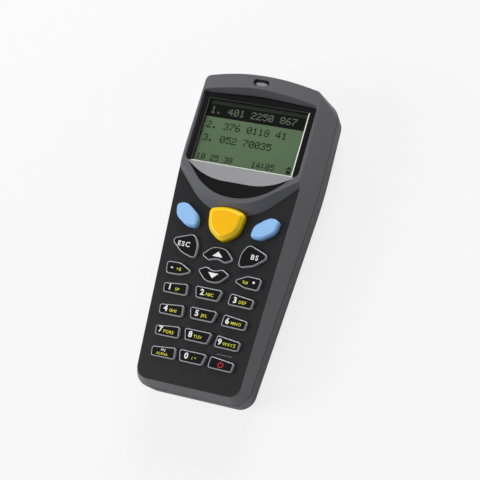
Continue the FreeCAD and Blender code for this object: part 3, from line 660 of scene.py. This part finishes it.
def lettering(
    text: str, size: float, bold: float = 0.0, spacing: float = 1.0
) -> bpy.types.Mesh:
    """Make flat lettering as a mesh.

    Args:
        text: What it says.
        size: Letter size in millimetres.
        bold: How far the strokes are thickened, as a share of the size.
        spacing: Distance between letters, 1 being the usual.

    Returns:
        A mesh in millimetres, centred on its origin.
    """
    curve = bpy.data.curves.new("lettering", "FONT")
    curve.body = text
    curve.size = size
    curve.offset = bold * size
    curve.space_character = spacing
    curve.align_x = "CENTER"
    curve.align_y = "CENTER"
    curve.resolution_u = 3
    holder = bpy.data.objects.new("lettering", curve)
    bpy.context.scene.collection.objects.link(holder)
    bpy.context.view_layer.update()
    graph = bpy.context.evaluated_depsgraph_get()
    mesh = bpy.data.meshes.new_from_object(holder.evaluated_get(graph))
    bpy.data.objects.remove(holder)
    bpy.data.curves.remove(curve)
    return mesh


@dataclass
class Sheet:
    """Faces gathered from several flat shapes, each with its own finish."""

    name: str
    body: str
    slot: str
    verts: list[Vector] = field(default_factory=list)
    faces: list[tuple[int, ...]] = field(default_factory=list)
    picks: list[int] = field(default_factory=list)
    paints: list[bpy.types.Material] = field(default_factory=list)

    def add(
        self,
        points: list[Vector],
        faces: list[tuple[int, ...]],
        place: Matrix,
        paint: bpy.types.Material,
    ) -> None:
        """Add faces.

        Args:
            points: Corner points in millimetres.
            faces: Faces as numbers of points.
            place: Where they go.
            paint: Their finish.
        """
        if paint not in self.paints:
            self.paints.append(paint)
        start = len(self.verts)
        self.verts += [place @ Vector(p) for p in points]
        self.faces += [tuple(start + i for i in f) for f in faces]
        self.picks += [self.paints.index(paint)] * len(faces)

    def add_text(
        self, mesh: bpy.types.Mesh, place: Matrix, paint: bpy.types.Material
    ) -> None:
        """Add a lettering mesh.

        Args:
            mesh: The lettering, in millimetres.
            place: Where it goes.
            paint: Its ink.
        """
        points = [v.co.copy() for v in mesh.vertices]
        self.add(points, [tuple(p.vertices) for p in mesh.polygons], place, paint)

    def finish(self) -> bpy.types.Object:
        """Make the object, let it ride on its body, and return it."""
        mesh = bpy.data.meshes.new(self.name)
        mesh.from_pydata(self.verts, [], self.faces)
        for paint in self.paints:
            mesh.materials.append(paint)
        for polygon, pick in zip(mesh.polygons, self.picks):
            polygon.material_index = pick
        piece = bpy.data.objects.new(self.name, mesh)
        bpy.context.scene.collection.objects.link(piece)
        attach(piece, self.body)
        LOG.info("%s: %d faces on %s", self.name, len(self.faces), self.body)
        return piece


@dataclass(frozen=True)
class Legend:
    """What is printed on one key, and where the key is."""

    node: str
    x: float
    y: float
    rise: float
    main: str = ""
    letters: str = ""
    main_at: float = -2.2
    letters_at: float = 0.75


@dataclass
class Keypad:
    """Printing on the keys."""

    paint: Paint
    plane: KeypadPlane = field(default_factory=KeypadPlane)
    digit_mm: float = 3.0
    letter_mm: float = 1.6
    clear_mm: float = 0.02
    side_rise: float = 1.5
    middle_rise: float = 1.9
    word_mm: float = 2.6
    small_word_mm: float = 1.35
    corner_x: float = 13.7
    corner_y: float = 51.1
    arrow_half: float = 2.0
    ring_inner: float = 0.75
    ring_outer: float = 1.1
    ring_steps: int = 20

    def legends(self) -> list[Legend]:
        """Return every printed legend."""
        side, middle = self.side_rise, self.middle_rise
        return [
            Legend("key_1", -12.8, 34.4, side, "1", "SP"),
            Legend("key_2", 0, 34.8, middle, "2", "ABC"),
            Legend("key_3", 12.8, 34.4, side, "3", "DEF"),
            Legend("key_4", -12.3, 26.4, side, "4", "GHI"),
            Legend("key_5", 0, 26.9, middle, "5", "JKL"),
            Legend("key_6", 12.3, 26.4, side, "6", "MNO", -2.6, 0.8),
            Legend("key_7", -11.7, 18.5, side, "7", "PQRS", -2.7, 0.5),
            Legend("key_8", 0, 18.9, middle, "8", "TUV", -2.6, 0.3),
            Legend("key_9", 11.7, 18.5, side, "9", "WXYZ", -2.9, 0.8),
            Legend("key_0", 0, 11.0, middle, "0", "/ *", -2.1, 0.9),
            Legend("key_dash", -13.7, 41.9, side, "-", "+$", -2.4, 0.3),
            Legend("key_dot", 13.7, 41.9, side, "\u2022", "%#", 2.2, -1.0),
        ]

    def build(self) -> None:
        """Print every key."""
        for legend in self.legends():
            sheet = Sheet(f"legend_{legend.node}", legend.node, "key_black")
            rise = legend.rise + self.clear_mm
            if legend.main:
                sheet.add_text(
                    lettering(legend.main, self.digit_mm, 0.03),
                    self.plane.at(legend.x + legend.main_at, legend.y + 0.1, rise),
                    self.paint.white_ink,
                )
            sheet.add_text(
                lettering(legend.letters, self.letter_mm, 0.008, 1.12),
                self.plane.at(legend.x + legend.letters_at, legend.y - 0.3, rise),
                self.paint.yellow_ink,
            )
            sheet.finish()
        for node, x, text, shift in (
            ("key_escape", -self.corner_x, "ESC", -0.2),
            ("key_back", self.corner_x, "BS", 0.2),
        ):
            sheet = Sheet(f"legend_{node}", node, "key_black")
            sheet.add_text(
                lettering(text, self.word_mm, 0.015, 1.22),
                self.plane.at(x + shift, self.corner_y, self.side_rise + self.clear_mm),
                self.paint.white_ink,
            )
            sheet.finish()
        sheet = Sheet("legend_key_function", "key_function", "key_black")
        rise = self.side_rise + self.clear_mm
        for text, x, y, ink in (
            ("FN", -11.4, 11.35, self.paint.white_ink),
            ("ALPHA", -11.5, 9.95, self.paint.yellow_ink),
        ):
            word = lettering(text, self.small_word_mm, 0.01, 1.1)
            sheet.add_text(word, self.plane.at(x, y, rise), ink)
        sheet.finish()
        self.arrow("key_up", 49.6, Way.UP)
        self.arrow("key_down", 42.0, Way.DOWN)
        self.power_sign()
        self.power_line()

    def arrow(self, node: str, y: float, way: Way) -> None:
        """Print an arrow.

        Args:
            node: The key.
            y: Its place up the keypad.
            way: Which way it points.
        """
        sheet = Sheet(f"legend_{node}", node, "key_black")
        half, sign = self.arrow_half, way.value
        points = [Vector((-half, -0.9 * sign, 0)), Vector((half, -0.9 * sign, 0))]
        points.append(Vector((0, 1.1 * sign, 0)))
        order = (0, 1, 2) if way is Way.UP else (0, 2, 1)
        place = self.plane.at(0, y + 0.15 * sign, self.side_rise + self.clear_mm)
        sheet.add(points, [order], place, self.paint.white_ink)
        sheet.finish()

    def power_sign(self) -> None:
        """Print the ring with a bar on the power key."""
        sheet = Sheet("legend_key_power", "key_power", "key_black")
        place = self.plane.at(11.2, 10.7, self.side_rise + self.clear_mm)
        points, faces = [], []
        for i in range(self.ring_steps + 1):
            turn = math.radians(125 + 290 * i / self.ring_steps)
            for radius in (self.ring_inner, self.ring_outer):
                points.append(Vector((radius * math.cos(turn), radius * math.sin(turn) - 0.1, 0)))
        for i in range(self.ring_steps):
            faces.append((2 * i, 2 * i + 1, 2 * i + 3, 2 * i + 2))
        sheet.add(points, faces, place, self.paint.red_ink)
        bar = [(-0.17, 0.1), (0.17, 0.1), (0.17, 1.3), (-0.17, 1.3)]
        corners = [Vector((x, y, 0)) for x, y in bar]
        sheet.add(corners, [(0, 1, 2, 3)], place, self.paint.red_ink)
        sheet.finish()


    def power_line(self) -> None:
        """Make the low moulded line over the power key, painted grey as a painted highlight on the
        charcoal ridge.
        """
        sheet = Sheet("power_line", HOUSING, "charcoal_plastic")
        low, high = Vector((8.4, 14.1, -0.02)), Vector((14.4, 14.5, 0.25))
        lift = Vector((0.1, 0.1, 0))
        foot = [(low.x, low.y), (high.x, low.y), (high.x, high.y), (low.x, high.y)]
        inner = (low + lift, high - lift)
        crest = [
            (inner[0].x, inner[0].y),
            (inner[1].x, inner[0].y),
            (inner[1].x, inner[1].y),
            (inner[0].x, inner[1].y),
        ]
        points = [Vector((x, y, low.z)) for x, y in foot]
        points += [Vector((x, y, high.z)) for x, y in crest]
        sides = [(i, (i + 1) % 4, 4 + (i + 1) % 4, 4 + i) for i in range(4)]
        faces = sides + [(4, 5, 6, 7), (3, 2, 1, 0)]
        # painted highlight: the charcoal ridge is painted grey
        sheet.add(points, faces, self.plane.at(0, 0, 0), self.paint.ridge_painted_highlight)
        sheet.finish()


DOTS = {
    "0": ("01110", "10001", "10011", "10101", "11001", "10001", "01110"),
    "1": ("00100", "01100", "00100", "00100", "00100", "00100", "01110"),
    "2": ("01110", "10001", "00001", "00110", "01000", "10000", "11111"),
    "3": ("01110", "10001", "00001", "00110", "00001", "10001", "01110"),
    "4": ("00010", "00110", "01010", "10010", "11111", "00010", "00010"),
    "5": ("11111", "10000", "11110", "00001", "00001", "10001", "01110"),
    "6": ("00110", "01000", "10000", "11110", "10001", "10001", "01110"),
    "7": ("11111", "00001", "00010", "00100", "01000", "01000", "01000"),
    "8": ("01110", "10001", "10001", "01110", "10001", "10001", "01110"),
    "9": ("01110", "10001", "10001", "01111", "00001", "00010", "01100"),
    ".": ("00000", "00000", "00000", "00000", "00000", "01100", "01100"),
    ":": ("00000", "01100", "01100", "00000", "01100", "01100", "00000"),
    " ": ("00000",) * 7,
    "#": ("01110", "11111", "10001", "10001", "11111", "11111", "11111"),
}


@dataclass
class Display:
    """What the dot-matrix glass shows, and the bright edge of its window."""

    paint: Paint
    plane: LensPlane = field(default_factory=LensPlane)
    depth_mm: float = -1.27
    bevel_mm: float = 0.4
    fill: float = 1.12
    rows: tuple[tuple[str, float, float, float, float], ...] = (
        ("1. 401 2250 867", -18.3, 106.0, 0.385, 0.40),
        ("2. 376 0118 41", -18.3, 99.9, 0.385, 0.40),
        ("3. 052 70035", -18.3, 94.5, 0.385, 0.40),
        ("10 25 30    14:05", -18.6, 86.6, 0.305, 0.34),
        ("#", 17.1, 86.8, 0.3, 0.4),
    )

    def dots(self, text: str, x: float, y: float, across: float, down: float) -> list[Vector]:
        """Return the centres of a line's driven dots, in metres.

        Args:
            text: What the line shows.
            x: Left edge of the line.
            y: Its upper edge, up the lens.
            across: Distance between dots in a row.
            down: Distance between rows of dots.

        Returns:
            The centres.
        """
        centres = []
        for place, sign in enumerate(text):
            for row, bits in enumerate(DOTS[sign]):
                for column, bit in enumerate(bits):
                    if bit == "1":
                        spot = self.plane.at(
                            x + (place * 6 + column) * across, y - row * down, self.depth_mm
                        )
                        centres.append(spot.to_translation())
        return centres

    def dot_tree(self, paint: bpy.types.Material) -> bpy.types.NodeTree:
        """Return a tree that puts a small square on each point."""
        tree = bpy.data.node_groups.new("driven_dots", "GeometryNodeTree")
        sockets = tree.interface
        sockets.new_socket("Geometry", in_out="INPUT", socket_type="NodeSocketGeometry")
        sockets.new_socket("Dot Width", in_out="INPUT", socket_type="NodeSocketFloat")
        sockets.new_socket("Dot Height", in_out="INPUT", socket_type="NodeSocketFloat")
        sockets.new_socket("Geometry", in_out="OUTPUT", socket_type="NodeSocketGeometry")
        entry = add_node(tree, "NodeGroupInput")
        square = add_node(
            tree,
            "GeometryNodeMeshGrid",
            {"Vertices X": 2, "Vertices Y": 2},
            {"Size X": entry.outputs["Dot Width"], "Size Y": entry.outputs["Dot Height"]},
        )
        spread = add_node(
            tree,
            "GeometryNodeInstanceOnPoints",
            {"Rotation": (-math.radians(self.plane.tilt_deg), 0, 0)},
            {"Points": entry.outputs["Geometry"], "Instance": square.outputs["Mesh"]},
        )
        real = add_node(
            tree, "GeometryNodeRealizeInstances", {}, {0: spread.outputs["Instances"]}
        )
        coat = add_node(
            tree,
            "GeometryNodeSetMaterial",
            {"Material": paint},
            {"Geometry": real.outputs[0]},
        )
        add_node(tree, "NodeGroupOutput", {}, {0: coat.outputs[0]})
        return tree

    def show(
        self,
        name: str,
        centres: list[Vector],
        size: tuple[float, float],
        paint: bpy.types.Material,
    ) -> None:
        """Make one line of dots.

        Args:
            name: The piece's name.
            centres: Where its dots are.
            size: Width and height of a dot.
            paint: The dots' finish.
        """
        points = bpy.data.meshes.new(name)
        points.from_pydata(centres, [], [])
        holder = bpy.data.objects.new(name, points)
        bpy.context.scene.collection.objects.link(holder)
        modifier = holder.modifiers.new("dots", "NODES")
        tree = self.dot_tree(paint)
        modifier.node_group = tree
        sizes = {"Dot Width": size[0] * MM, "Dot Height": size[1] * MM}
        for item in tree.interface.items_tree:
            if item.in_out == "INPUT" and item.name in sizes:
                modifier[item.identifier] = sizes[item.name]
        graph = bpy.context.evaluated_depsgraph_get()
        graph.update()
        baked = bpy.data.meshes.new_from_object(holder.evaluated_get(graph))
        holder.modifiers.clear()
        holder.data = baked
        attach(holder, HOUSING)
        LOG.info("%s: %d dots", name, len(centres))

    def window_edge(self) -> None:
        """Make the bevelled edge round the window, lit on its far sides."""
        sheet = Sheet("window_edge", HOUSING, "clear_lens")
        half, low, high, wide = WINDOW_HALF, WINDOW_LOW, WINDOW_HIGH, self.bevel_mm
        for corners, paint in (
            (((half, low), (half + wide, low - wide), (half + wide, high + wide), (half, high)),
             self.paint.bright_edge),
            (((-half, low), (-half - wide, low - wide), (half + wide, low - wide), (half, low)),
             self.paint.bright_edge),
            (((-half, high), (half, high), (half + wide, high + wide), (-half - wide, high + wide)),
             self.paint.dim_edge),
            (((-half, low), (-half, high), (-half - wide, high + wide), (-half - wide, low - wide)),
             self.paint.dim_edge),
        ):
            points = [Vector((x, y, 0)) for x, y in corners]
            sheet.add(points, [(0, 1, 2, 3)], self.plane.at(0, 0, 0.03), paint)
        sheet.finish()

    def build(self) -> None:
        """Show the lines and the window's edge."""
        for number, (text, x, y, across, down) in enumerate(self.rows, start=1):
            paint = self.paint.pale_dot if number == 1 else self.paint.dark_dot
            size = (across * self.fill, down * self.fill)
            centres = self.dots(text, x, y, across, down)
            self.show(f"display_line_{number}", centres, size, paint)
        self.window_edge()


@dataclass
class JointLine:
    """The dark line where the covers meet, drawn along the plan outline."""

    paint: Paint
    height_mm: float = JOINT_Z
    width_mm: float = 0.3
    proud_mm: float = 0.03
    half_length: float = 61.0
    foot_half: float = 22.0
    waist_half: float = 28.0
    waist_y: float = 24.0
    head_half: float = 27.4
    corner_round: float = 6.5
    waist_round: float = 200.0
    end_round: float = 120.0
    end_slope_deg: float = 8.3
    arc_steps: int = 8
    gap_half: float = 16.0

    def outline(self) -> list[Vector]:
        """Return the plan outline as points, in millimetres."""
        slope = math.radians(self.end_slope_deg)
        peak = self.half_length + self.end_round * (1 / math.cos(slope) - 1)
        head = peak - self.head_half * math.tan(slope)
        corners = [
            (-self.foot_half, -self.half_length, self.corner_round),
            (self.foot_half, -self.half_length, self.corner_round),
            (self.waist_half, self.waist_y, self.waist_round),
            (self.head_half, head, self.corner_round),
            (0.0, peak, self.end_round),
            (-self.head_half, head, self.corner_round),
            (-self.waist_half, self.waist_y, self.waist_round),
        ]
        points = []
        for i, (x, y, radius) in enumerate(corners):
            here = Vector((x, y))
            back = (Vector(corners[i - 1][:2]) - here).normalized()
            ahead = (Vector(corners[(i + 1) % len(corners)][:2]) - here).normalized()
            half = back.angle(ahead) / 2
            centre = here + (back + ahead).normalized() * (radius / math.sin(half))
            first = here + back * (radius / math.tan(half)) - centre
            sweep = math.pi - 2 * half
            for step in range(self.arc_steps + 1):
                spun = Matrix.Rotation(sweep * step / self.arc_steps, 2) @ first
                points.append(Vector((*(centre + spun), self.height_mm)))
        return points

    def build(self) -> None:
        """Make the line as a thin band, left open across the scan window."""
        sheet = Sheet("joint_line", HOUSING, "grey_plastic")
        points = self.outline()
        count = len(points)
        low, high = -self.width_mm / 2, self.width_mm / 2
        for i, here in enumerate(points):
            there = points[(i + 1) % count]
            if max(abs(here.x), abs(there.x)) < self.gap_half and min(here.y, there.y) > 0:
                continue
            out = Vector((there.y - here.y, here.x - there.x, 0))
            if out.length < 1e-6:
                continue
            out = out.normalized() * self.proud_mm
            corners = [here + out, there + out, there + out, here + out]
            for corner, lift in zip(corners, (low, low, high, high)):
                corner.z += lift
            sheet.add(corners, [(0, 1, 2, 3)], Matrix.Scale(MM, 4), self.paint.groove)
        sheet.finish()


@dataclass
class Housing:
    """Finishes of the solids that come from the frame."""

    paint: Paint

    def build(self) -> None:
        """Dress every node."""
        paint = self.paint
        finishes = {
            "front_cover": paint.front,
            "rear_cover": paint.rear,
            "battery_door": paint.rear,
            "display_lens": paint.lens,
            "display_panel": paint.crystal,
            "trim_crescent": paint.silver,
            "circuit_board": paint.solder,
            "dome_film": paint.steel,
            "contact_springs": paint.steel,
            "contact_plate": paint.steel,
            "screws": paint.steel,
            "scan_window": paint.red_window,
            "scan_engine": paint.black,
            "buzzer": paint.black,
            "indicator_lens": paint.lamp,
            "cell_1": paint.jacket,
            "cell_2": paint.jacket,
            "key_soft_left": paint.blue,
            "key_soft_right": paint.blue,
            "key_scan": paint.yellow,
        }
        for name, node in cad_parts.items():
            finish = finishes.get(name, paint.key)
            node.data.materials.clear()
            node.data.materials.append(finish)
            LOG.info("%s dressed in %s", name, finish.name)


@dataclass
class Studio:
    """White tent: pale floor, soft lamps, and the camera at the photograph's angle."""

    floor_half: float = 4.0
    floor_drop: float = 0.0002
    floor_white: float = 0.8  # share of plain white that the camera sees, the rest is shadow
    lamp_side: float = 0.5
    lamps: tuple[tuple[str, tuple[float, float, float], float], ...] = (
        ("left_box", (-0.75, -0.35, 0.6), 6.0),
        ("head_box", (0.0, 0.9, 0.55), 8.0),
    )
    lens_mm: float = 102.885
    camera_at: tuple[float, float, float] = (0.1638, -0.1234, 0.4855)
    right: tuple[float, float, float] = (0.9323, 0.2611, -0.2505)
    down: tuple[float, float, float] = (0.1793, -0.9347, -0.3069)
    forward: tuple[float, float, float] = (-0.3142, 0.2412, -0.9182)

    def floor(self) -> None:
        """Lay the pale floor."""
        material, tree = start_material("studio_floor")
        seen = add_node(tree, "ShaderNodeLightPath")
        matt = add_node(tree, "ShaderNodeBsdfDiffuse", {"Color": (0.72, 0.72, 0.72, 1)})
        glow = add_node(tree, "ShaderNodeEmission", {"Strength": 1.0})
        share = add_node(
            tree,
            "ShaderNodeMath",
            {1: self.floor_white},
            {0: seen.outputs["Is Camera Ray"]},
            operation="MULTIPLY",
        )
        blend = add_node(
            tree,
            "ShaderNodeMixShader",
            {},
            {0: share.outputs[0], 1: matt.outputs[0], 2: glow.outputs[0]},
        )
        add_node(tree, "ShaderNodeOutputMaterial", {}, {0: blend.outputs[0]})
        mesh = bpy.data.meshes.new("floor")
        far = self.floor_half
        corners = [(-far, -far, 0), (far, -far, 0), (far, far, 0), (-far, far, 0)]
        mesh.from_pydata(corners, [], [(0, 1, 2, 3)])
        mesh.materials.append(material)
        floor = bpy.data.objects.new("floor", mesh)
        floor.location.z = -self.floor_drop
        bpy.context.scene.collection.objects.link(floor)

    def world(self) -> None:
        """Light the tent: bright round its walls, dimmer overhead."""
        world = bpy.data.worlds.new("tent")
        bpy.context.scene.world = world
        world.use_nodes = True
        tree = world.node_tree
        tree.nodes.clear()
        way = add_node(tree, "ShaderNodeTexCoord").outputs["Generated"]
        split = add_node(tree, "ShaderNodeSeparateXYZ", {}, {0: way})
        wall = add_node(
            tree,
            "ShaderNodeMapRange",
            {"From Min": 0.15, "From Max": 0.85, "To Min": 0.5, "To Max": 0.25},
            {"Value": split.outputs[2]},
        )
        light = add_node(tree, "ShaderNodeBackground", {}, {"Strength": wall.outputs[0]})
        white = add_node(tree, "ShaderNodeBackground", {"Strength": 1.0})
        for node in (light, white):
            node.inputs["Color"].default_value = (1, 1, 1, 1)
        seen = add_node(tree, "ShaderNodeLightPath")
        blend = add_node(
            tree,
            "ShaderNodeMixShader",
            {},
            {0: seen.outputs["Is Camera Ray"], 1: light.outputs[0], 2: white.outputs[0]},
        )
        add_node(tree, "ShaderNodeOutputWorld", {}, {0: blend.outputs[0]})

    def lamp(self, name: str, place: Vector, power: float) -> None:
        """Hang a soft square lamp aimed at the terminal.

        Args:
            name: The lamp's name.
            place: Where it hangs, in metres.
            power: Its power in watts.
        """
        data = bpy.data.lights.new(name, "AREA")
        data.shape = "SQUARE"
        data.size = self.lamp_side
        data.energy = power
        lamp = bpy.data.objects.new(name, data)
        lamp.location = place
        lamp.rotation_euler = (-place).to_track_quat("-Z", "Y").to_euler()
        bpy.context.scene.collection.objects.link(lamp)

    def camera(self) -> None:
        """Place the camera that was fitted to the photograph."""
        data = bpy.data.cameras.new("camera")
        data.lens = self.lens_mm
        data.sensor_width = 36.0
        camera = bpy.data.objects.new("camera", data)
        right, up, back = Vector(self.right), -Vector(self.down), -Vector(self.forward)
        turn = Matrix((right, up, back)).transposed().to_4x4()
        camera.matrix_world = Matrix.Translation(Vector(self.camera_at)) @ turn
        bpy.context.scene.collection.objects.link(camera)
        bpy.context.scene.camera = camera

    def build(self) -> None:
        """Set up the studio."""
        bpy.context.scene.view_settings.view_transform = "Standard"
        self.floor()
        self.world()
        for name, place, power in self.lamps:
            self.lamp(name, Vector(place), power)
        self.camera()


def main() -> None:
    """Build every part of the scene in order."""
    logging.basicConfig(level=logging.INFO, format="%(message)s")
    paint = Paint()
    for part in (Studio(), Housing(paint), Keypad(paint), Display(paint), JointLine(paint)):
        LOG.info("building %s", type(part).__name__)
        part.build()
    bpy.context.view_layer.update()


if __name__ == "__main__":
    main()
